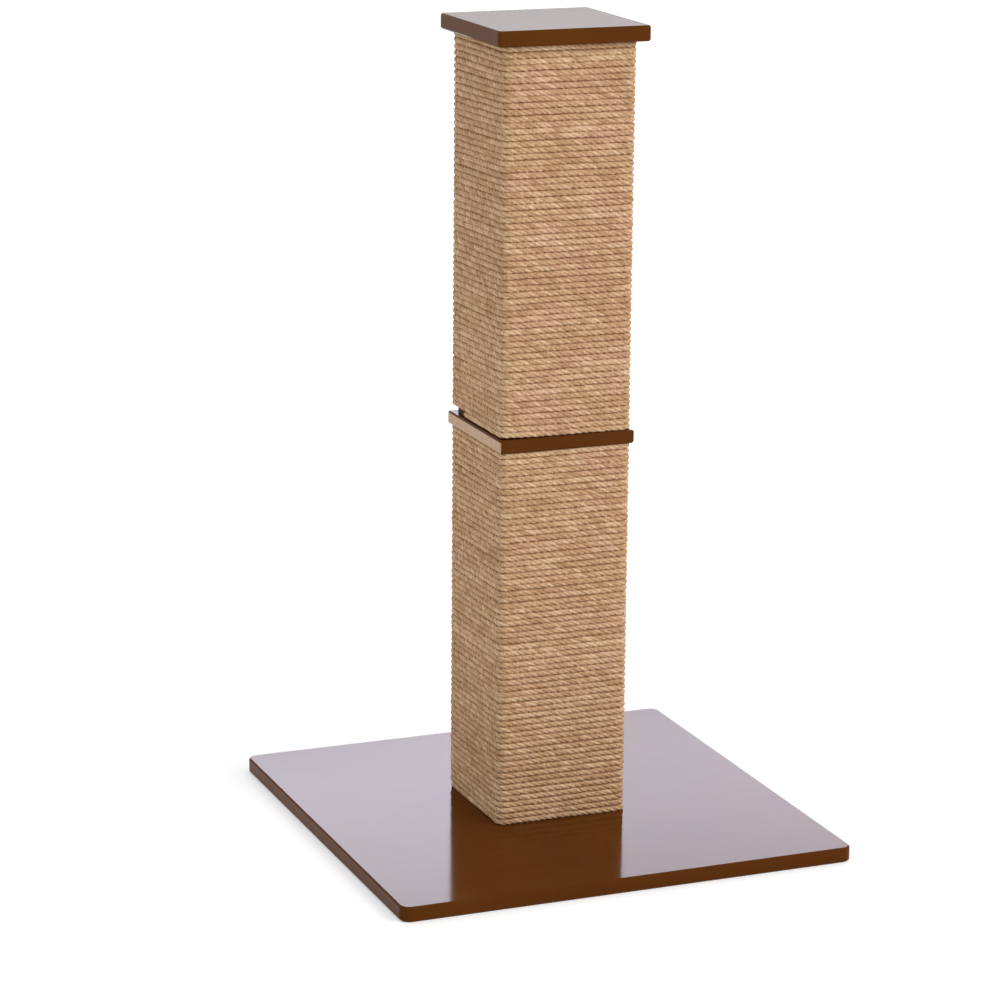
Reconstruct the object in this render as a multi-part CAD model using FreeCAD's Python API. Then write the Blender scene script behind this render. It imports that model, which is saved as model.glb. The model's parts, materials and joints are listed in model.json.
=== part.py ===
import FreeCAD, Part
import math
import os
from FreeCAD import Vector

# Two-stage square scratching post: a low square base board, two rope-wound
# sections with a thin collar board between them, and a square cap board.
# Millimetres. +Z is up, -Y is the front, and the origin is at the middle of
# the base board's underside.

# ---------------------------------------------------------------- boards
BASE_SIDE = 460.0
BASE_THICKNESS = 15.0
BASE_CORNER_RADIUS = 10.0
COLLAR_THICKNESS = 13.0
COLLAR_OVERHANG = 1.3        # how far the collar stands out past the rope
COLLAR_CORNER_RADIUS = 2.5
CAP_THICKNESS = 15.0
CAP_OVERHANG = 8.5           # how far the cap stands out past the rope
CAP_CORNER_RADIUS = 4.0
EDGE_EASE = 1.5              # chamfer of the long edges, top and bottom

# ---------------------------------------------------------------- post core
POST_SET_BACK = 9.0          # post axis behind the middle of the base
SECTION_HEIGHT = 372.0
CORE_SIDE = 124.0
CORE_CHAMFER = 3.0           # upright corners of the core, under the rope
PANEL_THICKNESS = 12.0
BLOCK_THICKNESS = 25.0       # solid end blocks inside each section

# ---------------------------------------------------------------- rope
ROPE_THICKNESS = 6.0         # how far the rope stands out from the core
ROPE_TURNS = 63              # in each section
ROPE_LENGTHS = ("bottom", "middle", "top")   # butted end to end round one section
ROPE_GAP = 0.5               # between one turn and the next
ROPE_FLAT = 3.0              # width of the cord's faces against the core and outside
ROPE_START = 30.0            # lower end, on the left face, behind the post axis
ROPE_END = 45.0              # upper end, on the right face, behind the post axis

# ---------------------------------------------------------------- fasteners
BOLT_SPACING = 64.0          # square pattern under the base
BOLT_RADIUS = 3.0
BOLT_LENGTH = 25.0
BOLT_HEAD_RADIUS = 5.25
BOLT_HEAD_HEIGHT = 3.3
BOLT_SOCKET_RADIUS = 2.3     # to the corners of its hexagon
BOLT_SOCKET_DEPTH = 2.0
WASHER_RADIUS = 7.0
WASHER_THICKNESS = 1.6
COUNTERBORE_RADIUS = 8.0
COUNTERBORE_DEPTH = 6.0
INSERT_RADIUS = 5.0
INSERT_LENGTH = 15.0
STUD_RADIUS = 4.0
STUD_LENGTH = 60.0
TEE_NUT_BARREL_RADIUS = 5.5
TEE_NUT_BARREL = 10.0
TEE_NUT_FLANGE_RADIUS = 11.0
TEE_NUT_FLANGE = 1.5
SCREW_RADIUS = 1.75
SCREW_TIP = 5.0              # length of the pointed end
SCREW_TIP_RADIUS = 0.4
SCREW_HEAD_RADIUS = 3.5
SCREW_HEAD_HEIGHT = 2.5
COLLAR_SCREW_LENGTH = 30.0
CAP_SCREW_LENGTH = 35.0
BOARD_SCREW_SPACING = 64.0   # square pattern of the collar's and the cap's screws
NAIL_RADIUS = 0.8
NAIL_LENGTH = 13.0
NAIL_HEAD_RADIUS = 1.7
NAIL_HEAD_HEIGHT = 0.8
NAIL_FROM_END = 8.0          # along the rope from its cut end

# Small round fasteners and their holes have flats in place of the round.
ROD_SIDES = 12
COUNTERBORE_SIDES = 24

# ---------------------------------------------------------------- clearances
BOLT_CLEARANCE = 0.3         # bolts and the stud in plain holes, on the radius
THREAD_CLEARANCE = 0.1       # a thread in its own nut, sleeve or wood, on the radius
HEAD_SINK = 0.3              # screw heads below the face that they are driven from
TIP_CLEARANCE = 1.0          # hole past the end of what goes into it

# ---------------------------------------------------------------- levels and widths
POST_SIDE = CORE_SIDE + 2 * ROPE_THICKNESS
COLLAR_SIDE = POST_SIDE + 2 * COLLAR_OVERHANG
CAP_SIDE = POST_SIDE + 2 * CAP_OVERHANG
CORE_HALF = CORE_SIDE / 2
HOLLOW_SIDE = CORE_SIDE - 2 * PANEL_THICKNESS
LOWER_BOTTOM = BASE_THICKNESS
COLLAR_BOTTOM = LOWER_BOTTOM + SECTION_HEIGHT
UPPER_BOTTOM = COLLAR_BOTTOM + COLLAR_THICKNESS
CAP_BOTTOM = UPPER_BOTTOM + SECTION_HEIGHT
ROPE_PITCH = SECTION_HEIGHT / ROPE_TURNS
BOLT_SHOULDER = COUNTERBORE_DEPTH - WASHER_THICKNESS
STUD_BOTTOM = (COLLAR_BOTTOM + UPPER_BOTTOM - STUD_LENGTH) / 2
LOWER_NUT_SEAT = COLLAR_BOTTOM - BLOCK_THICKNESS
UPPER_NUT_SEAT = UPPER_BOTTOM + BLOCK_THICKNESS
UP = Vector(0, 0, 1)
DOWN = Vector(0, 0, -1)
SAME = 1e-6                  # two lengths this close are the same


# ---------------------------------------------------------------- helpers
def at_post(x, y, z):
    """A point given from the post's own axis."""
    return Vector(x, y + POST_SET_BACK, z)


def at_pattern(spacing, z):
    """The four corners of a square about the post's axis, at one height."""
    half = spacing / 2
    return [at_post(x, y, z) for x in (-half, half) for y in (-half, half)]


def polygon(points):
    return Part.makePolygon(points + points[:1])


def ring(radius, place, direction, sides):
    """The corners of an even-sided outline square to the direction."""
    turn = FreeCAD.Rotation(UP, direction)
    points = []
    for side in range(sides):
        angle = 2 * math.pi * side / sides
        corner = Vector(radius * math.cos(angle), radius * math.sin(angle), 0)
        points.append(place + turn.multVec(corner))
    return points


def flat_faces(a, b, c, d):
    """One face on four points in a plane, otherwise two triangles."""
    if abs((b - a).cross(c - a).dot(d - a)) < SAME:
        return [Part.Face(polygon([a, b, c, d]))]
    return [Part.Face(polygon([a, b, c])), Part.Face(polygon([a, c, d]))]


def flat_sided(outlines):
    """A solid with flat faces through outlines of as many points each."""
    faces = [Part.Face(polygon(outlines[0])), Part.Face(polygon(outlines[-1]))]
    for here, there in zip(outlines, outlines[1:]):
        for k in range(len(here)):
            after = (k + 1) % len(here)
            faces += flat_faces(here[k], here[after], there[after], there[k])
    skin = Part.makeShell(faces)
    skin.sewShape()
    solid = Part.makeSolid(skin)
    if solid.Volume < 0:
        solid.reverse()
    return solid


def rod(radius, length, start, direction=UP, sides=ROD_SIDES):
    outline = polygon(ring(radius, start, direction, sides))
    return Part.Face(outline).extrude(direction * length)


def taper(start_radius, end_radius, length, start, direction):
    """A rod that narrows evenly along its length."""
    return flat_sided([ring(start_radius, start, direction, ROD_SIDES),
                       ring(end_radius, start + direction * length, direction, ROD_SIDES)])


def group(shapes):
    return Part.makeCompound(list(shapes))


def block(width, depth, height, x, y, z):
    """A box centred on x and y from the post's axis, standing on z."""
    return Part.makeBox(width, depth, height, at_post(x - width / 2, y - depth / 2, z))


def upright_edges(shape):
    return [e for e in shape.Edges if abs(e.tangentAt(e.FirstParameter).z) > 1 - SAME]


def level_edges(shape, z):
    return [e for e in shape.Edges if all(abs(v.Z - z) < SAME for v in e.Vertexes)]


# ---------------------------------------------------------------- boards
def eased_board(side, thickness, corner_radius, centre_y, bottom):
    """A square board with round corners and chamfered edges."""
    half = side / 2
    board = Part.makeBox(side, side, thickness, Vector(-half, centre_y - half, bottom))
    board = board.makeFillet(corner_radius, upright_edges(board))
    return board.makeChamfer(EDGE_EASE, level_edges(board, bottom)
                             + level_edges(board, bottom + thickness))


def make_base_board():
    board = eased_board(BASE_SIDE, BASE_THICKNESS, BASE_CORNER_RADIUS, 0, 0)
    for place in at_pattern(BOLT_SPACING, 0):
        board = board.cut(rod(BOLT_RADIUS + BOLT_CLEARANCE, BASE_THICKNESS, place))
        board = board.cut(rod(COUNTERBORE_RADIUS, COUNTERBORE_DEPTH, place,
                              sides=COUNTERBORE_SIDES))
    return board


def make_collar_board():
    board = eased_board(COLLAR_SIDE, COLLAR_THICKNESS, COLLAR_CORNER_RADIUS,
                        POST_SET_BACK, COLLAR_BOTTOM)
    stud_hole = rod(STUD_RADIUS + BOLT_CLEARANCE, COLLAR_THICKNESS, at_post(0, 0, COLLAR_BOTTOM))
    return board.cut([stud_hole, *collar_screw_holes()])


def make_cap_board():
    board = eased_board(CAP_SIDE, CAP_THICKNESS, CAP_CORNER_RADIUS, POST_SET_BACK, CAP_BOTTOM)
    return board.cut(cap_screw_holes())


# ---------------------------------------------------------------- fasteners
def screw(head, direction, length):
    """A pointed countersunk wood screw from the top of its head."""
    straight = length - SCREW_TIP
    shank = rod(SCREW_RADIUS, straight, head, direction)
    cone = taper(SCREW_HEAD_RADIUS, SCREW_RADIUS, SCREW_HEAD_HEIGHT, head, direction)
    shoulder = head + direction * straight
    point = taper(SCREW_RADIUS, SCREW_TIP_RADIUS, SCREW_TIP, shoulder, direction)
    return shank.fuse([cone, point]).removeSplitter()


def screw_hole(head, direction, length):
    """The hole that such a screw makes, up through the face that it is driven from."""
    radius = SCREW_RADIUS + THREAD_CLEARANCE
    head_radius = SCREW_HEAD_RADIUS + THREAD_CLEARANCE
    way = rod(radius, length + TIP_CLEARANCE, head, direction)
    cone = taper(head_radius, radius, SCREW_HEAD_HEIGHT + THREAD_CLEARANCE, head, direction)
    mouth = rod(head_radius, HEAD_SINK, head, direction * -1)
    return way.fuse([cone, mouth]).removeSplitter()


def collar_screw_heads():
    return at_pattern(BOARD_SCREW_SPACING, UPPER_BOTTOM - HEAD_SINK)


def collar_screw_holes():
    return [screw_hole(head, DOWN, COLLAR_SCREW_LENGTH) for head in collar_screw_heads()]


def cap_screw_heads():
    return at_pattern(BOARD_SCREW_SPACING, CAP_BOTTOM - BLOCK_THICKNESS + HEAD_SINK)


def cap_screw_holes():
    return [screw_hole(head, UP, CAP_SCREW_LENGTH) for head in cap_screw_heads()]


def base_bolt(shoulder):
    """A button-head bolt with a hexagon socket, from under its head."""
    head = rod(BOLT_HEAD_RADIUS, BOLT_HEAD_HEIGHT, shoulder, DOWN)
    shank = rod(BOLT_RADIUS, BOLT_LENGTH, shoulder)
    socket = rod(BOLT_SOCKET_RADIUS, BOLT_SOCKET_DEPTH, shoulder + DOWN * BOLT_HEAD_HEIGHT, sides=6)
    return head.fuse(shank).cut(socket)


def washer(place):
    hole = rod(BOLT_RADIUS + BOLT_CLEARANCE, WASHER_THICKNESS, place)
    return rod(WASHER_RADIUS, WASHER_THICKNESS, place).cut(hole)


def threaded_sleeve(place):
    hole = rod(BOLT_RADIUS + THREAD_CLEARANCE, INSERT_LENGTH, place)
    return rod(INSERT_RADIUS, INSERT_LENGTH, place).cut(hole)


def tee_nut(seat, direction):
    """Its flange lies on the block's inner face and its barrel goes into the block."""
    flange = rod(TEE_NUT_FLANGE_RADIUS, TEE_NUT_FLANGE, seat, direction * -1)
    barrel = rod(TEE_NUT_BARREL_RADIUS, TEE_NUT_BARREL, seat, direction)
    thread = rod(STUD_RADIUS + THREAD_CLEARANCE, TEE_NUT_BARREL + TEE_NUT_FLANGE,
                 seat - direction * TEE_NUT_FLANGE, direction)
    return flange.fuse(barrel).cut(thread)


# ---------------------------------------------------------------- section cores
def core_panels(section_bottom):
    """Front and back panels run the full width, left and right fit between them."""
    middle = (CORE_SIDE - PANEL_THICKNESS) / 2
    panels = {}
    for name, y in (("front", -middle), ("back", middle)):
        panel = block(CORE_SIDE, PANEL_THICKNESS, SECTION_HEIGHT, 0, y, section_bottom)
        outer_y = POST_SET_BACK + math.copysign(CORE_HALF, y)
        corners = [e for e in upright_edges(panel) if abs(e.Vertexes[0].Y - outer_y) < SAME]
        panels[name] = panel.makeChamfer(CORE_CHAMFER, corners)
    for name, x in (("left", -middle), ("right", middle)):
        panel = block(PANEL_THICKNESS, HOLLOW_SIDE, SECTION_HEIGHT, x, 0, section_bottom)
        panels[name] = panel.cut(rope_nail_holes(section_bottom))
    return panels


def end_block(bottom, holes):
    """A solid block that fills the hollow at one end of a section."""
    return block(HOLLOW_SIDE, HOLLOW_SIDE, BLOCK_THICKNESS, 0, 0, bottom).cut(holes)


def sleeve_holes():
    """For the base bolts' sleeves and, past them, the bolts' ends."""
    radius = INSERT_RADIUS + THREAD_CLEARANCE
    depth = max(INSERT_LENGTH, BOLT_SHOULDER + BOLT_LENGTH - LOWER_BOTTOM) + TIP_CLEARANCE
    return [rod(radius, depth, place) for place in at_pattern(BOLT_SPACING, LOWER_BOTTOM)]


def stud_holes(seat, direction):
    """Through a block for the stud, and wider for the tee nut's barrel."""
    centre = at_post(0, 0, seat)
    return [rod(STUD_RADIUS + BOLT_CLEARANCE, BLOCK_THICKNESS, centre, direction),
            rod(TEE_NUT_BARREL_RADIUS + THREAD_CLEARANCE, TEE_NUT_BARREL + TIP_CLEARANCE,
                centre, direction)]


# ---------------------------------------------------------------- rope winding
# The cord has six flat sides: one lies on the core, one is outside, and the
# ridges between them face the turns above and below. Each turn is level on the
# left, front and right faces, and climbs to the next turn across the back face.
CORD_HEIGHT = ROPE_PITCH - ROPE_GAP
CORD_RIDGE = ROPE_THICKNESS / 2
CORD_CORNERS = ((0, -ROPE_FLAT / 2), (0, ROPE_FLAT / 2), (CORD_RIDGE, CORD_HEIGHT / 2),
                (ROPE_THICKNESS, ROPE_FLAT / 2), (ROPE_THICKNESS, -ROPE_FLAT / 2),
                (CORD_RIDGE, -CORD_HEIGHT / 2))
# The bends of one turn in order, two at each chamfered corner of the core: sign
# of x, sign of y, whether the bend ends a run on the left or right face, and the
# turns climbed when it is reached.
BENDS = ((-1, 1, True, 0), (-1, -1, True, 0), (-1, -1, False, 0), (1, -1, False, 0),
         (1, -1, True, 0), (1, 1, True, 0), (1, 1, False, 0), (-1, 1, False, 1))
RIGHT_FACE_RUN_ENDS = 5      # lengths are cut on the right face, before this bend


def section_at_bend(bend, row_height):
    """The cord's corners where a face of the core meets its chamfer, half the
    chamfer's 45 degrees from square."""
    x_sign, y_sign, on_side_face, climbed = bend
    points = []
    for stand_off, rise in CORD_CORNERS:
        far = CORE_HALF + stand_off
        near = CORE_HALF - CORE_CHAMFER + stand_off * math.tan(math.radians(45) / 2)
        x, y = (far, near) if on_side_face else (near, far)
        points.append(at_post(x_sign * x, y_sign * y, row_height + climbed * ROPE_PITCH + rise))
    return points


def section_on_side(x_sign, y, row_height):
    """The cord's corners at a square cut on the left or the right face."""
    return [at_post(x_sign * (CORE_HALF + stand_off), y, row_height + rise)
            for stand_off, rise in CORD_CORNERS]


def winding_courses(section_bottom):
    """For each length of the rope, its section at every bend from end to end."""
    lengths = len(ROPE_LENGTHS)
    last_turns = [ROPE_TURNS * (k + 1) // lengths - 1 for k in range(lengths)]
    course = [section_on_side(-1, ROPE_START, section_bottom + ROPE_PITCH / 2)]
    courses = []
    for turn in range(ROPE_TURNS):
        row_height = section_bottom + (turn + 0.5) * ROPE_PITCH
        before_cut = BENDS[:RIGHT_FACE_RUN_ENDS] if turn else BENDS[1:RIGHT_FACE_RUN_ENDS]
        course += [section_at_bend(bend, row_height) for bend in before_cut]
        if turn in last_turns:
            cut = section_on_side(1, ROPE_END, row_height)
            courses.append(course + [cut])
            course = [cut]
        course += [section_at_bend(bend, row_height) for bend in BENDS[RIGHT_FACE_RUN_ENDS:]]
    return courses


def least_gap(courses):
    """Smallest distance from a turn's upper ridge to the next turn's lower ridge,
    measured on points along each run between bends."""
    sections = [points for course in courses for points in course]
    upper = [max(points, key=lambda point: point.z) for points in sections]
    lower = [min(points, key=lambda point: point.z) for points in sections]
    samples = 12
    least = ROPE_PITCH
    for run in range(len(sections) - 1):
        next_turn = range(run + len(BENDS) - 2, min(run + len(BENDS) + 3, len(sections) - 1))
        for step in range(samples + 1):
            point = upper[run] + (upper[run + 1] - upper[run]) * (step / samples)
            for other in next_turn:
                start = lower[other]
                reach = lower[other + 1] - start
                if reach.Length < SAME:
                    continue
                along = (point - start).dot(reach) / reach.dot(reach)
                nearest = start + reach * max(0.0, min(1.0, along))
                least = min(least, (point - nearest).Length)
    return least


def rope_nail_places(section_bottom):
    """Midway through the rope's thickness near each end of the winding, and the way inward."""
    first_row = section_bottom + ROPE_PITCH / 2
    last_row = section_bottom + SECTION_HEIGHT - ROPE_PITCH / 2
    in_rope = CORE_HALF + ROPE_THICKNESS / 2
    return ((at_post(-in_rope, ROPE_START - NAIL_FROM_END, first_row), Vector(1, 0, 0)),
            (at_post(in_rope, ROPE_END - NAIL_FROM_END, last_row), Vector(-1, 0, 0)))


def rope_nails(section_bottom):
    return [rod(NAIL_RADIUS, NAIL_LENGTH, place, inward)
            .fuse(rod(NAIL_HEAD_RADIUS, NAIL_HEAD_HEIGHT, place, inward * -1))
            for place, inward in rope_nail_places(section_bottom)]


def rope_nail_holes(section_bottom):
    """Room for each nail's shank and for its head, which the rope's fibres close over."""
    holes = []
    for place, inward in rope_nail_places(section_bottom):
        holes.append(rod(NAIL_RADIUS + THREAD_CLEARANCE, NAIL_LENGTH + THREAD_CLEARANCE,
                         place, inward))
        holes.append(rod(NAIL_HEAD_RADIUS + THREAD_CLEARANCE, NAIL_HEAD_HEIGHT + THREAD_CLEARANCE,
                         place, inward * -1))
    return holes


# ---------------------------------------------------------------- nodes
def section_nodes(section, section_bottom, bottom_holes, top_holes):
    """A section's core, rope and fixings, by node name."""
    nodes = {f"{section}_panel_{side}": panel for side, panel in core_panels(section_bottom).items()}
    top_block = section_bottom + SECTION_HEIGHT - BLOCK_THICKNESS
    nodes[f"{section}_block_bottom"] = end_block(section_bottom, bottom_holes)
    nodes[f"{section}_block_top"] = end_block(top_block, top_holes)
    courses = winding_courses(section_bottom)
    for length, course in zip(ROPE_LENGTHS, courses):
        cord = flat_sided(course)
        if course in (courses[0], courses[-1]):
            cord = cord.cut(rope_nail_holes(section_bottom))
        nodes[f"{section}_rope_{length}"] = cord
    nodes[f"{section}_rope_nails"] = group(rope_nails(section_bottom))
    print(f"{section} rope: {ROPE_TURNS} turns, {ROPE_PITCH:.3f} mm apart, "
          f"least gap to itself {least_gap(courses):.3f} mm")
    return nodes


def part_nodes():
    bolt_places = at_pattern(BOLT_SPACING, BOLT_SHOULDER)
    nodes = {
        "base_board": make_base_board(),
        "base_bolts": group(base_bolt(place) for place in bolt_places),
        "base_washers": group(washer(place) for place in bolt_places),
        "base_inserts": group(threaded_sleeve(p) for p in at_pattern(BOLT_SPACING, LOWER_BOTTOM)),
        "collar_board": make_collar_board(),
        "collar_screws": group(screw(head, DOWN, COLLAR_SCREW_LENGTH)
                               for head in collar_screw_heads()),
        "joining_stud": rod(STUD_RADIUS, STUD_LENGTH, at_post(0, 0, STUD_BOTTOM)),
        "lower_tee_nut": tee_nut(at_post(0, 0, LOWER_NUT_SEAT), UP),
        "upper_tee_nut": tee_nut(at_post(0, 0, UPPER_NUT_SEAT), DOWN),
        "cap_board": make_cap_board(),
        "cap_screws": group(screw(head, UP, CAP_SCREW_LENGTH) for head in cap_screw_heads()),
    }
    nodes.update(section_nodes("lower", LOWER_BOTTOM, sleeve_holes(),
                               stud_holes(LOWER_NUT_SEAT, UP) + collar_screw_holes()))
    nodes.update(section_nodes("upper", UPPER_BOTTOM, stud_holes(UPPER_NUT_SEAT, DOWN),
                               cap_screw_holes()))
    return nodes


os.makedirs("parts", exist_ok=True)
for node_name, node_shape in part_nodes().items():
    node_shape.exportStep(f"parts/{node_name}.step")
    print(f"{node_name}: {len(node_shape.Solids)} solid(s), {node_shape.Volume / 1000:.1f} cm3, "
          f"valid {node_shape.isValid()}")
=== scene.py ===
import json
import math

import bpy
import numpy as np
from mathutils import Matrix, Vector


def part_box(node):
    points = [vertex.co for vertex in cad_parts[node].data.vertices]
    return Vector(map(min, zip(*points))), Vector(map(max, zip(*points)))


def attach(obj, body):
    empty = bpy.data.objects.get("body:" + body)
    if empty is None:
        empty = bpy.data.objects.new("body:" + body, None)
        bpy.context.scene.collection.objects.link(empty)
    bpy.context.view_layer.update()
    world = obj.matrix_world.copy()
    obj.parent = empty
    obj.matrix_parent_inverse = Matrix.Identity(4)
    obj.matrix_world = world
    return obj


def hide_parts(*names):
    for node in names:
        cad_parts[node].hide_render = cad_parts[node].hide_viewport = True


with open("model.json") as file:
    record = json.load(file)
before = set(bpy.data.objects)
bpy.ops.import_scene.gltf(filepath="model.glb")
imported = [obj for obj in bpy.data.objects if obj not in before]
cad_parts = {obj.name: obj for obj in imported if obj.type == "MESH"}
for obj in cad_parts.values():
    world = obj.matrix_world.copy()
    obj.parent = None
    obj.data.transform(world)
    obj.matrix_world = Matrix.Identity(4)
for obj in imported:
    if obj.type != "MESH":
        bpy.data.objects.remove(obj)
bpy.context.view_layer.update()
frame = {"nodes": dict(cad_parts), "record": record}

MM = 0.001

# ---------------------------------------------------------------- rope sizes
ROPE_RADIUS = 3.0 * MM
STRANDS = 3
STRAND_RADIUS = 1.84 * MM
STRAND_WIDENING = 1.06       # of a strand's section along the rope's surface
STRAND_REACH = 1.30 * MM     # from the rope's middle line to a strand's
SPREAD = 1.08                # the wound rope is pressed: taller than it is thick
FLAT_FROM = 2.0 * MM         # outward from the middle line, past which it is pressed flatter
FLAT_SHARE = 0.35            # by this share
CREASE_SHEET_OUT = -0.2 * MM         # dark sheet between two rows, painted shade in the crease, from the middle line outward
CREASE_SHEET_HALF = 1.2 * MM         # half the height of that band
CREASE_SHEET_ROOM = 0.1 * MM         # from the last band to the board above it
LAY_LENGTH = 20.7 * MM       # one full twist of the strands
TURNS = 63                   # in each section
LENGTHS = ("bottom", "middle", "top")
START = {"lower": 59.0 * MM, "upper": 30.0 * MM}   # lower end, on the left face, behind the axis
LIFT = {"lower": 0.0, "upper": 1.5 * MM}           # of the first rows on the left face
LIFT_TURNS = 8               # over which that lift fades
END = 45.0 * MM              # where lengths meet and the rope ends, on the right face
CORNER_RADIUS = 6.0 * MM     # of the rope's middle line round the post's corners
LEFT_SHARE = 0.5             # of a turn's climb that it makes across the left face
LEVEL_TURNS = 10             # at each end of a section, over which that share fades
FIBRE_TWIST = 250.0          # radians a metre, against the lay, so that fibres run along the rope
FIBRE_SHIFT = 1.7            # metres from one strand's fibre pattern to the next strand's
RINGS_PER_LAY = 9            # of each strand's mesh
STRAND_SIDES = 6
LIFT_FADE = 0.4              # share of the front and back faces over which the lift fades
END_ROOM = 0.9 * ROPE_RADIUS   # least height from a board to a row's middle line
PROUD = 0.2 * MM             # of the middle line, past a rope that just touches the core

# How the rope wanders along its length: the size of each wave, and its spacing in metres.
ROW_WAVES = ((0.30 * MM, 0.045), (0.20 * MM, 0.010), (0.25 * MM, 0.35))   # up and down
PROUD_WAVES = ((0.14 * MM, 0.03),)                                        # in and out
TWIST_WAVES = ((1.6, 0.11), (0.35, 0.014))                                # radians
THICKNESS_WAVES = ((0.07, 0.018), (0.06, 0.0055))                         # share of a strand's
REACH_WAVES = ((0.06 * MM, 0.02),)                                        # of a strand's middle
SHADE_WAVES = ((0.08, 0.03), (0.04, 0.4))                                 # of all three strands
OWN_SHADE_WAVES = ((0.14, 0.02), (0.16, 0.006))                           # of one strand
SLACK_SPACING = 0.2          # metres between places where the rope is pulled thinner
SLACK_THINNING = 0.03        # by this share
MEAN_SHADE = 0.5             # shades run from 0, dark, to 1
OUTER_WEAR_AND_PAINTED_LIGHT = 0.15           # how much lighter a strand is on its outer side and darker on its inner side: partly wear, partly painted highlight and painted shade
CREASE_PAINTED_SHADE = 0.0             # of the dark sheet in each crease between rows: painted shade
HAIR_SHADE = 0.75            # of the loose ones

# ---------------------------------------------------------------- loose fibres
HAIR_COUNT = 1400            # in each of the six lengths
HAIR_DEPTH = 0.35 * MM       # of the root, under the rope's surface
HAIR_LENGTH = (1.2, 3.6)     # in mm
HAIR_RADII = (0.07 * MM, 0.055 * MM)               # at the root and at the bend
HAIR_SPREAD = 1.1            # radians up or down from straight out

# ---------------------------------------------------------------- light
WORLD_LIGHT = 0.70           # what lights the object, where 1 is white
FLOOR_GLOW = 0.34            # what the camera sees the floor brighter by, at the object
FAR_FLOOR_GLOW = 0.6         # and from 1.5 m away
BACK_Y = 5.5                 # of the panels behind
PALE_LAVENDER = (0.81, 0.835, 1.0)
PALE_BLUE = (0.8, 0.87, 1.0)

# ---------------------------------------------------------------- places from the frame
FRONT_LOW, FRONT_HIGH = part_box("lower_panel_front")
CORE_HALF = FRONT_HIGH.x
POST_Y = (FRONT_LOW.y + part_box("lower_panel_back")[1].y) / 2
SECTIONS = {
    "lower": (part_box("base_board")[1].z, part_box("collar_board")[0].z),
    "upper": (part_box("collar_board")[1].z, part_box("cap_board")[0].z),
}


# ---------------------------------------------------------------- camera
def make_camera():
    """The photograph's view, from a fit to the object's edges."""
    azimuth, elevation, roll = (math.radians(a) for a in (-22.022, 14.654, 0.477))
    distance = 3.4174
    target = Vector((-0.0448, 0.0, 0.3262))
    back = Vector((math.sin(azimuth) * math.cos(elevation),
                   -math.cos(azimuth) * math.cos(elevation), math.sin(elevation)))
    data = bpy.data.cameras.new("camera")
    data.sensor_width = 36.0
    data.lens = 127.49
    data.clip_end = 100.0
    camera = bpy.data.objects.new("camera", data)
    bpy.context.scene.collection.objects.link(camera)
    right = Vector((0, 0, 1)).cross(back).normalized()
    up = back.cross(right)
    rolled_right = math.cos(roll) * right + math.sin(roll) * up
    rolled_up = -math.sin(roll) * right + math.cos(roll) * up
    turn = Matrix((rolled_right, rolled_up, back)).transposed().to_4x4()
    camera.matrix_world = Matrix.Translation(target + back * distance) @ turn
    bpy.context.scene.camera = camera


# ---------------------------------------------------------------- material helpers
class Nodes:
    """Short calls for building one material's node tree."""

    def __init__(self, name):
        self.material = bpy.data.materials.new(name)
        self.material.use_nodes = True
        self.tree = self.material.node_tree
        self.shader = self.tree.nodes["Principled BSDF"]
        self.output = self.tree.nodes["Material Output"]

    def add(self, kind, inputs=None, **settings):
        node = self.tree.nodes.new(kind)
        for key, value in settings.items():
            setattr(node, key, value)
        for key, value in (inputs or {}).items():
            self.feed(node, key, value)
        return node

    def feed(self, node, key, value):
        if isinstance(value, bpy.types.NodeSocket):
            self.tree.links.new(value, node.inputs[key])
        else:
            node.inputs[key].default_value = value

    def set(self, **inputs):
        for key, value in inputs.items():
            self.feed(self.shader, key.replace("_", " "), value)

    def math(self, operation, a, b=0.0):
        return self.add("ShaderNodeMath", {0: a, 1: b}, operation=operation).outputs[0]

    def stretched(self, vector, scale):
        return self.add("ShaderNodeMapping", {"Vector": vector, "Scale": scale}).outputs[0]

    def noise(self, vector, scale, detail=3.0, roughness=0.55):
        node = self.add("ShaderNodeTexNoise", {"Vector": vector, "Scale": scale,
                                               "Detail": detail, "Roughness": roughness})
        return node.outputs["Fac"]

    def ramp(self, factor, stops):
        node = self.add("ShaderNodeValToRGB", {"Fac": factor})
        ramp = node.color_ramp
        while len(ramp.elements) < len(stops):
            ramp.elements.new(0.5)
        for element, (place, colour) in zip(ramp.elements, stops):
            element.position = place
            element.color = (*colour, 1.0)
        return node.outputs["Color"]

    def mix(self, factor, a, b, blend="MIX"):
        node = self.add("ShaderNodeMix", data_type="RGBA", blend_type=blend)
        for index, value in ((0, factor), (6, a), (7, b)):
            self.feed(node, index, value)
        return node.outputs[2]

    def bump(self, height, strength, distance):
        node = self.add("ShaderNodeBump", {"Height": height, "Strength": strength,
                                           "Distance": distance})
        self.tree.links.new(node.outputs["Normal"], self.shader.inputs["Normal"])


def srgb(red, green, blue):
    """A colour as it is read from a screen, 0 to 255, made linear."""
    return tuple(((c / 255 + 0.055) / 1.055) ** 2.4 for c in (red, green, blue))


def solid(colour):
    return (*colour, 1.0)


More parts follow.
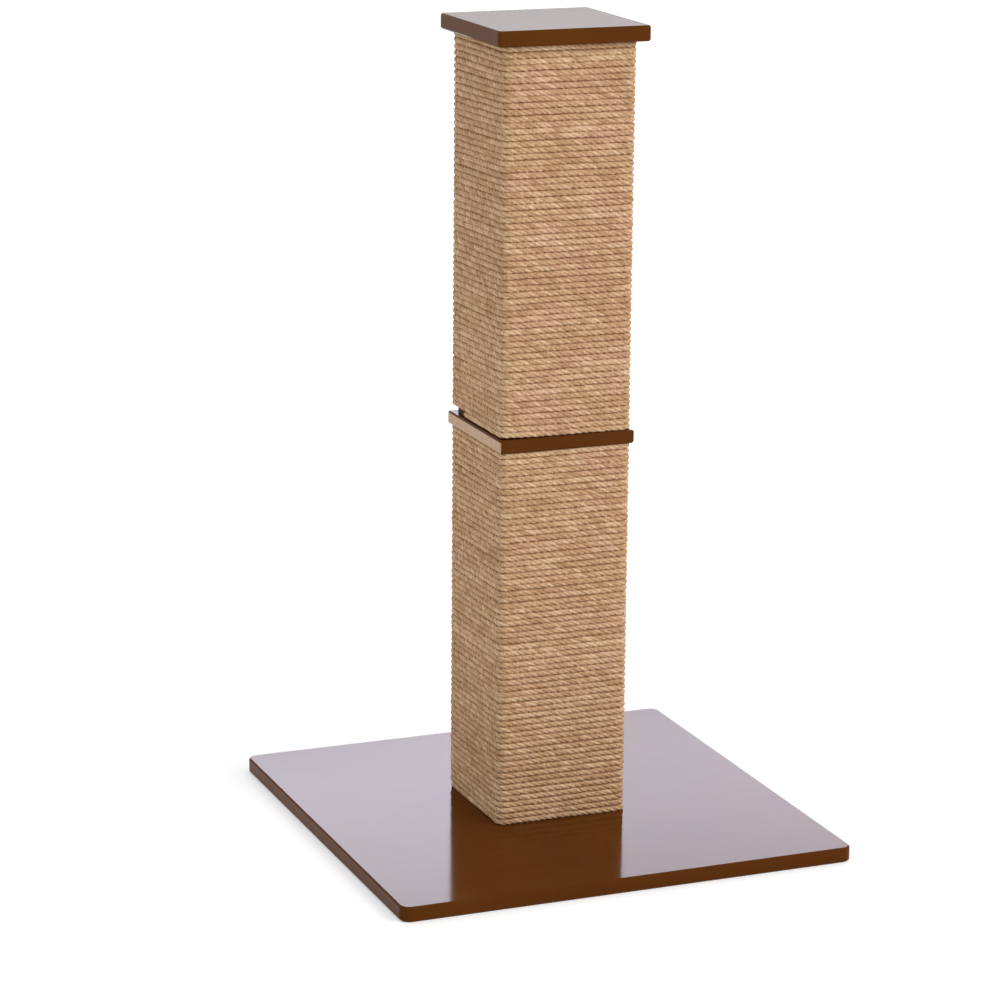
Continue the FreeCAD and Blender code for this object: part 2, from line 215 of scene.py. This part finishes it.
# ---------------------------------------------------------------- materials
def stained_board(name, painted_left_reflection=False):
    """Dark brown stain under a clear satin lacquer, with faint streaks along X.

    With a painted left reflection, the faces that look left get a light tan in place of the stain, a
    painted reflection: only faces that look left count, not the eased edges round them.
    """
    n = Nodes(name)
    place = n.add("ShaderNodeTexCoord").outputs["Object"]
    streaks = n.noise(n.stretched(place, (1.2, 22.0, 22.0)), 6.0, 5.0, 0.6)
    clouds = n.noise(place, 7.0, 3.0)
    tone = n.math("ADD", n.math("MULTIPLY", streaks, 0.2), n.math("MULTIPLY", clouds, 0.8))
    colour = n.ramp(tone, [(0.25, srgb(86, 45, 9)), (0.50, srgb(93, 50, 11)),
                           (0.75, srgb(102, 56, 14))])
    # Painted reflection: faces that look left are painted light tan in place of the dark stain.
    if painted_left_reflection:
        facing = n.add("ShaderNodeSeparateXYZ", {0: n.add("ShaderNodeNewGeometry").outputs["Normal"]})
        left = n.math("LESS_THAN", facing.outputs["X"], -0.6)
        level = n.math("LESS_THAN", facing.outputs["Z"], 0.3)
        left_reflection = n.ramp(streaks, [(0.3, srgb(194, 157, 124)), (0.7, srgb(210, 174, 142))])
        colour = n.mix(n.math("MULTIPLY", left, level), colour, left_reflection)
    n.set(Base_Color=colour, Roughness=0.5, Specular_IOR_Level=0.0)
    n.set(Coat_Weight=1.0, Coat_IOR=1.12, Coat_Roughness=0.1)
    return n.material


def raw_board():
    """Core board, dark brown all over: painted shade where it shows past the rope's ends, under and
    over the rows.
    """
    n = Nodes("raw_board")
    place = n.add("ShaderNodeTexCoord").outputs["Object"]
    chips = n.noise(place, 160.0, 4.0, 0.7)
    # Painted shade: the core is coloured dark brown so the gaps past the rope's ends and between the
    # rows read dark.
    n.set(Base_Color=n.ramp(chips, [(0.3, srgb(58, 33, 14)), (0.7, srgb(84, 50, 22))]),
          Roughness=0.8)
    n.bump(chips, 0.3, 0.0003)
    return n.material


def zinc_steel():
    """Zinc-plated steel of the screws, bolts and nails."""
    n = Nodes("zinc_steel")
    place = n.add("ShaderNodeTexCoord").outputs["Object"]
    spangle = n.noise(place, 400.0, 2.0)
    n.set(Base_Color=n.ramp(spangle, [(0.3, srgb(168, 170, 172)), (0.7, srgb(198, 199, 200))]),
          Metallic=1.0, Roughness=n.math("ADD", n.math("MULTIPLY", spangle, 0.15), 0.25))
    n.bump(spangle, 0.05, 0.0001)
    return n.material


def jute():
    """Jute yarn. The mesh's fibre attribute runs along and round each strand."""
    n = Nodes("jute_rope")
    fibre = n.add("ShaderNodeAttribute", attribute_name="fibre").outputs["Vector"]
    tone = n.add("ShaderNodeAttribute", attribute_name="tone").outputs["Fac"]
    place = n.add("ShaderNodeTexCoord").outputs["Object"]
    hairs = n.noise(n.stretched(fibre, (60.0, 1.1, 1.1)), 2.4, 5.0, 0.75)
    patches = n.noise(n.stretched(place, (1.0, 1.0, 1.3)), 22.0, 2.0)
    specks = n.noise(place, 380.0, 2.0, 0.7)
    # The tone carries random shades, the strands' lighter outer sides (partly wear, partly painted
    # highlight) and the creases' painted shade.
    blend = n.math("ADD", n.math("MULTIPLY", hairs, 0.4), n.math("MULTIPLY", tone, 0.3))
    blend = n.math("ADD", blend, n.math("MULTIPLY", specks, 0.3))
    colour = n.ramp(blend, [(0.34, srgb(166, 128, 93)), (0.5, srgb(208, 171, 136)),
                            (0.64, srgb(246, 220, 190))])
    tint = n.ramp(patches, [(0.35, srgb(254, 244, 237)), (0.65, srgb(253, 247, 232))])
    n.set(Base_Color=n.mix(1.0, colour, tint, "MULTIPLY"), Roughness=0.85)
    n.set(Specular_IOR_Level=0.2)
    n.bump(hairs, 0.6, 0.0004)
    return n.material


MATERIALS = {"stained_board": stained_board("stained_board"), "raw_board": raw_board(),
             "zinc_steel": zinc_steel(), "rope": jute()}
# The collar's copy, with a painted reflection on its left faces.
COLLAR_MATERIAL = stained_board("stained_board_painted_left_reflection", painted_left_reflection=True)


def dress_frame():
    """Every CAD node gets its material, by its slot in the record."""
    slots = {part["node"]: part["material_slot"] for part in frame["record"]["subparts"]}
    for name, node in frame["nodes"].items():
        node.data.materials.clear()
        node.data.materials.append(MATERIALS[slots[name]])
    # The collar takes the copy with the painted reflection on its left faces.
    frame["nodes"]["collar_board"].data.materials[0] = COLLAR_MATERIAL


# ---------------------------------------------------------------- rope
def wander(rng, places, spacing):
    """Smooth noise from about -1 to 1 along a line, with features of that spacing."""
    knots = rng.uniform(-1.0, 1.0, int(places[-1] / spacing) + 4)
    at = places / spacing
    index = at.astype(int)
    share = at - index
    share = share * share * (3 - 2 * share)
    return knots[index] * (1 - share) + knots[index + 1] * share


def waves(rng, places, parts):
    """A sum of wanderings, each given by its size and spacing."""
    return sum(size * wander(rng, places, spacing) for size, spacing in parts)


def left_share(turn):
    """How much of a turn's climb is made on the left face: none at a section's ends."""
    reach = np.clip(np.minimum(turn, TURNS - 1 - turn) / LEVEL_TURNS, 0.0, 1.0)
    return LEFT_SHARE * reach * reach * (3 - 2 * reach)


def winding_line(rng, section, bottom, top):
    """Points on the rope's middle line, their outward directions, and their distance along it."""
    pitch = (top - bottom) / TURNS
    half = CORE_HALF + ROPE_RADIUS
    straight = 2 * (half - CORNER_RADIUS)
    arc = math.pi / 2 * CORNER_RADIUS
    around = 4 * (straight + arc)
    first = half - CORNER_RADIUS - START[section]
    last = (TURNS - 1) * around + 2 * (straight + arc) + straight / 2 + END
    step = LAY_LENGTH / RINGS_PER_LAY
    distance = np.linspace(first, last, int((last - first) / step))
    turn = np.floor(distance / around)
    along = distance - turn * around
    side = np.floor(along / (straight + arc)).astype(int)
    into = along - side * (straight + arc)
    on_face = np.minimum(into, straight)
    angle = np.maximum(into - straight, 0.0) / CORNER_RADIUS
    # Each side in its own axes: travel along it, outward from it. Sides go left, front, right, back.
    outward = np.array([(-1, 0), (0, -1), (1, 0), (0, 1)])[side]
    travel = np.array([(0, -1), (1, 0), (0, 1), (-1, 0)])[side]
    normal = outward * np.cos(angle)[:, None] + travel * np.sin(angle)[:, None]
    centre = (outward * (half - CORNER_RADIUS)
              + travel * (on_face - straight / 2)[:, None])
    plan = centre + normal * CORNER_RADIUS
    share = on_face / straight
    climb = np.where(side == 0, -left_share(turn) * (1 - share), 0.0)
    climb = np.where(side == 3, (1 - left_share(turn + 1)) * share, climb)
    fading = np.clip(1 - share / LIFT_FADE, 0, 1)
    rising = np.clip((share - (1 - LIFT_FADE)) / LIFT_FADE, 0, 1)
    near_left = np.select([side == 0, side == 1, side == 3], [1.0, fading, rising])
    lift = LIFT[section] * near_left * np.clip(1 - distance / around / LIFT_TURNS, 0, 1)
    height = bottom + pitch * (turn + 0.5 + climb) + lift
    run = distance - first
    height += waves(rng, run, ROW_WAVES)
    height = np.clip(height, bottom + END_ROOM, top - END_ROOM)
    proud = PROUD + waves(rng, run, PROUD_WAVES)
    points = np.column_stack((plan + normal * proud[:, None], height))
    points[:, 1] += POST_Y
    normals = np.column_stack((normal, np.zeros(len(normal))))
    # Every length ends as the last one does, whole turns before it.
    turns_left = [TURNS - TURNS * (k + 1) // len(LENGTHS) for k in range(len(LENGTHS))]
    cuts = [last - turns * around for turns in turns_left]
    return points, normals, run, np.searchsorted(distance, cuts)


def strand_rings(rng, points, normals, run):
    """Ring points of each strand, with the fibre and tone of each point."""
    tangent = np.gradient(points, axis=0)
    tangent /= np.linalg.norm(tangent, axis=1)[:, None]
    up = np.cross(normals, tangent) * -1
    up /= np.linalg.norm(up, axis=1)[:, None]
    twist = 2 * math.pi * run / LAY_LENGTH + waves(rng, run, TWIST_WAVES)
    slack = wander(rng, run, SLACK_SPACING)
    rings, fibres, tones = [], [], []
    shade = MEAN_SHADE + waves(rng, run, SHADE_WAVES)
    for strand in range(STRANDS):
        phase = twist + 2 * math.pi * strand / STRANDS
        thickness = STRAND_RADIUS * (1 + waves(rng, run, THICKNESS_WAVES) - SLACK_THINNING * slack)
        reach = STRAND_REACH + waves(rng, run, REACH_WAVES)
        # A right-hand lay: the strands turn from outward to up against the travel.
        spoke = normals * np.cos(phase)[:, None] + up * np.sin(phase)[:, None] * SPREAD
        middle = points + spoke * reach[:, None]
        rise = np.gradient(middle, axis=0)
        rise /= np.linalg.norm(rise, axis=1)[:, None]
        side = np.cross(rise, spoke)
        side /= np.linalg.norm(side, axis=1)[:, None]
        own_shade = shade + waves(rng, run, OWN_SHADE_WAVES)
        for corner in range(STRAND_SIDES):
            angle = 2 * math.pi * corner / STRAND_SIDES
            offset = spoke * math.cos(angle) + side * math.sin(angle) * STRAND_WIDENING
            ring = middle + offset * thickness[:, None]
            out = np.einsum("ij,ij->i", ring - points, normals)
            rings.append(ring - normals * (FLAT_SHARE * np.maximum(out - FLAT_FROM, 0))[:, None])
            lean = angle + run * FIBRE_TWIST
            fibres.append(np.column_stack((run + strand * FIBRE_SHIFT, np.cos(lean), np.sin(lean))))
            # Lighter on the strand's outer side, darker towards the creases: partly wear, partly
            # painted highlight and painted shade.
            tones.append(own_shade + OUTER_WEAR_AND_PAINTED_LIGHT * math.cos(angle))
    return np.stack(rings, 1), np.stack(fibres, 1), np.stack(tones, 1)


def crease_shade_sheet(points, normals, bottom, top):
    """A dark strip in the crease above each row, painted shade there, two points for each ring."""
    crease = points + normals * CREASE_SHEET_OUT
    crease[:, 2] += (top - bottom) / TURNS / 2
    band = np.stack((crease, crease), 1)
    band[:, 0, 2] -= CREASE_SHEET_HALF
    band[:, 1, 2] += CREASE_SHEET_HALF
    band[:, :, 2] = np.minimum(band[:, :, 2], top - CREASE_SHEET_ROOM)
    return band


def tube_faces(count, sides):
    """Quads of one closed tube of that many rings, and its two ends."""
    ring = np.arange(count - 1)[:, None] * sides
    here = ring + np.arange(sides)[None, :]
    after = ring + (np.arange(sides) + 1)[None, :] % sides
    quads = np.stack((here, after, after + sides, here + sides), -1).reshape(-1, 4)
    ends = [list(range(sides))[::-1], [(count - 1) * sides + k for k in range(sides)]]
    return quads, ends


def hairs(rng, points, normals, count):
    """Loose fibres that stand off the rope: thin three-sided spikes with one bend."""
    vertices, faces = [], []
    picks = rng.integers(2, len(points) - 2, count)
    for pick in picks:
        out = Vector(normals[pick])
        along = Vector(points[pick + 1] - points[pick - 1]).normalized()
        up = Vector((0, 0, 1))
        lean = rng.uniform(-HAIR_SPREAD, HAIR_SPREAD)
        spoke = (out * math.cos(lean) + up * math.sin(lean)).normalized()
        root = Vector(points[pick]) + spoke * (ROPE_RADIUS - HAIR_DEPTH)
        way = (spoke * rng.uniform(0.25, 0.9) + along * rng.uniform(-1, 1)
               + up * rng.uniform(-0.5, 0.4)).normalized()
        length = rng.uniform(*HAIR_LENGTH) * MM
        bend = (way + along * rng.uniform(-0.5, 0.5) - up * rng.uniform(0, 0.4)).normalized()
        middle = root + way * length * 0.5
        tip = middle + bend * length * 0.5
        side = way.cross(up if abs(way.z) < 0.9 else out).normalized()
        other = way.cross(side)
        base = len(vertices)
        for centre, radius in zip((root, middle), HAIR_RADII):
            for k in range(3):
                a = 2 * math.pi * k / 3
                vertices.append(centre + (side * math.cos(a) + other * math.sin(a)) * radius)
        vertices.append(tip)
        for k in range(3):
            m = (k + 1) % 3
            faces.append((base + k, base + m, base + 3 + m, base + 3 + k))
            faces.append((base + 3 + k, base + 3 + m, base + 6))
        faces.append((base + 2, base + 1, base))
    return np.array([tuple(v) for v in vertices]), faces


def make_rope_piece(name, rings, fibres, tones, band, hair):
    """One length of rope: its strands, the dark band of painted shade in the crease beside them, and
    its loose fibres.
    """
    count = len(rings)
    vertices, fibre, tone, faces = [], [], [], []
    for strand in range(STRANDS):
        columns = slice(strand * STRAND_SIDES, (strand + 1) * STRAND_SIDES)
        base = strand * count * STRAND_SIDES
        vertices.append(rings[:, columns].reshape(-1, 3))
        fibre.append(fibres[:, columns].reshape(-1, 3))
        tone.append(tones[:, columns].reshape(-1))
        quads, ends = tube_faces(count, STRAND_SIDES)
        faces += (quads + base).tolist() + [[base + i for i in end] for end in ends]
    base = STRANDS * count * STRAND_SIDES
    low = base + 2 * np.arange(count - 1)
    faces += np.stack((low, low + 2, low + 3, low + 1), -1).tolist()
    vertices.append(band.reshape(-1, 3))
    fibre.append(np.repeat(fibres[:, 0], 2, axis=0))
    # The crease band takes the darkest tone: painted shade.
    tone.append(np.full(2 * count, CREASE_PAINTED_SHADE))
    hair_points, hair_faces = hair
    base += 2 * count
    faces += [[base + i for i in face] for face in hair_faces]
    vertices.append(hair_points)
    fibre.append(np.zeros((len(hair_points), 3)))
    tone.append(np.full(len(hair_points), HAIR_SHADE))
    mesh = bpy.data.meshes.new(name)
    mesh.from_pydata(np.concatenate(vertices).tolist(), [], faces)
    mesh.polygons.foreach_set("use_smooth", np.ones(len(mesh.polygons), dtype=bool))
    attribute = mesh.attributes.new("fibre", "FLOAT_VECTOR", "POINT")
    attribute.data.foreach_set("vector", np.concatenate(fibre).astype(np.float32).ravel())
    attribute = mesh.attributes.new("tone", "FLOAT", "POINT")
    attribute.data.foreach_set("value", np.concatenate(tone).astype(np.float32))
    mesh.materials.append(MATERIALS["rope"])
    mesh.validate()
    piece = bpy.data.objects.new(name, mesh)
    bpy.context.scene.collection.objects.link(piece)
    return piece


def make_ropes():
    """Laid rope in place of the plain one, in the same three lengths for each section."""
    for number, (section, (bottom, top)) in enumerate(SECTIONS.items()):
        rng = np.random.default_rng(700 + number)
        points, normals, run, cuts = winding_line(rng, section, bottom, top)
        rings, fibres, tones = strand_rings(rng, points, normals, run)
        band = crease_shade_sheet(points, normals, bottom, top)
        start = 0
        for length, cut in zip(LENGTHS, cuts):
            end = min(cut + 1, len(points))
            span = slice(start, end)
            hair = hairs(rng, points[span], normals[span], HAIR_COUNT)
            piece = make_rope_piece(f"{section}_rope_{length}_laid", rings[span], fibres[span],
                                    tones[span], band[span], hair)
            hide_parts(f"{section}_rope_{length}")
            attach(piece, "root")
            start = end - 1


# ---------------------------------------------------------------- floor and light
def make_floor():
    """A pale floor that turns white where nothing shades it, and keeps the shadow."""
    size = 12.0
    mesh = bpy.data.meshes.new("floor")
    mesh.from_pydata([(x * size, y * size, 0) for x, y in ((-1, -1), (1, -1), (1, 1), (-1, 1))],
                     [], [(0, 1, 2, 3)])
    floor = bpy.data.objects.new("floor", mesh)
    bpy.context.scene.collection.objects.link(floor)
    n = Nodes("floor")
    n.set(Base_Color=solid((0.86, 0.86, 0.86)), Roughness=1.0, Specular_IOR_Level=0.0)
    seen = n.add("ShaderNodeLightPath")
    place = n.add("ShaderNodeTexCoord").outputs["Object"]
    away = n.add("ShaderNodeVectorMath", {0: place}, operation="LENGTH").outputs["Value"]
    rising = n.add("ShaderNodeMapRange", {"Value": away, "From Min": 0.5, "From Max": 1.5,
                                          "To Min": FLOOR_GLOW, "To Max": FAR_FLOOR_GLOW})
    glow = n.add("ShaderNodeEmission", {"Color": solid((1.0, 1.0, 1.0))})
    direct = n.math("MAXIMUM", seen.outputs["Is Camera Ray"], seen.outputs["Is Glossy Ray"])
    direct = n.math("MAXIMUM", direct, seen.outputs["Is Transmission Ray"])
    n.feed(glow, "Strength", n.math("MULTIPLY", direct, rising.outputs["Result"]))
    both = n.add("ShaderNodeAddShader", {0: n.shader.outputs[0], 1: glow.outputs[0]})
    n.tree.links.new(both.outputs[0], n.output.inputs["Surface"])
    mesh.materials.append(n.material)


def make_world():
    """White where it is seen, and a soft even light otherwise."""
    world = bpy.data.worlds.new("studio")
    world.use_nodes = True
    tree = world.node_tree
    background = tree.nodes["Background"]
    background.inputs["Color"].default_value = (1.0, 1.0, 1.0, 1.0)
    path = tree.nodes.new("ShaderNodeLightPath")
    seen = tree.nodes.new("ShaderNodeMath")
    seen.operation = "MAXIMUM"
    tree.links.new(path.outputs["Is Camera Ray"], seen.inputs[0])
    tree.links.new(path.outputs["Is Glossy Ray"], seen.inputs[1])
    also = tree.nodes.new("ShaderNodeMath")
    also.operation = "MAXIMUM"
    tree.links.new(seen.outputs[0], also.inputs[0])
    tree.links.new(path.outputs["Is Transmission Ray"], also.inputs[1])
    strength = tree.nodes.new("ShaderNodeMapRange")
    strength.inputs["To Min"].default_value = WORLD_LIGHT
    strength.inputs["To Max"].default_value = 1.0
    tree.links.new(also.outputs[0], strength.inputs["Value"])
    tree.links.new(strength.outputs["Result"], background.inputs["Strength"])
    bpy.context.scene.world = world


def softbox(name, place, aim, width, height, radiance, colour=(1.0, 1.0, 1.0), mirrored=True):
    """An area lamp of an even radiance, where 1 looks white. Glossy faces show it if mirrored."""
    data = bpy.data.lights.new(name, "AREA")
    data.shape = "RECTANGLE"
    data.size, data.size_y = width, height
    data.energy = radiance * width * height * math.pi
    data.color = colour
    lamp = bpy.data.objects.new(name, data)
    bpy.context.scene.collection.objects.link(lamp)
    lamp.location = place
    lamp.rotation_mode = "QUATERNION"
    lamp.rotation_quaternion = (Vector(aim) - Vector(place)).to_track_quat("-Z", "Y")
    lamp.visible_camera = False
    lamp.visible_glossy = mirrored


def make_light():
    """A key at the front right, and wide panels behind that the boards' tops reflect."""
    softbox("key", (2.4, -2.6, 2.4), (0, 0, 0.35), 2.4, 2.4, 3.3, mirrored=False)
    softbox("back left", (0.65, BACK_Y, 2.21), (0.65, 0, 1.9), 3.6, 0.8, 9.2, PALE_LAVENDER)
    softbox("back right", (2.97, BACK_Y, 2.21), (2.97, 0, 1.9), 1.04, 0.8, 7.3, PALE_LAVENDER)
    softbox("back low", (2.2, BACK_Y, 1.5), (2.2, 0, 1.3), 5.0, 0.5, 0.1, PALE_BLUE)


make_camera()
dress_frame()
make_ropes()
make_floor()
make_world()
make_light()
bpy.context.scene.view_settings.view_transform = "Standard"
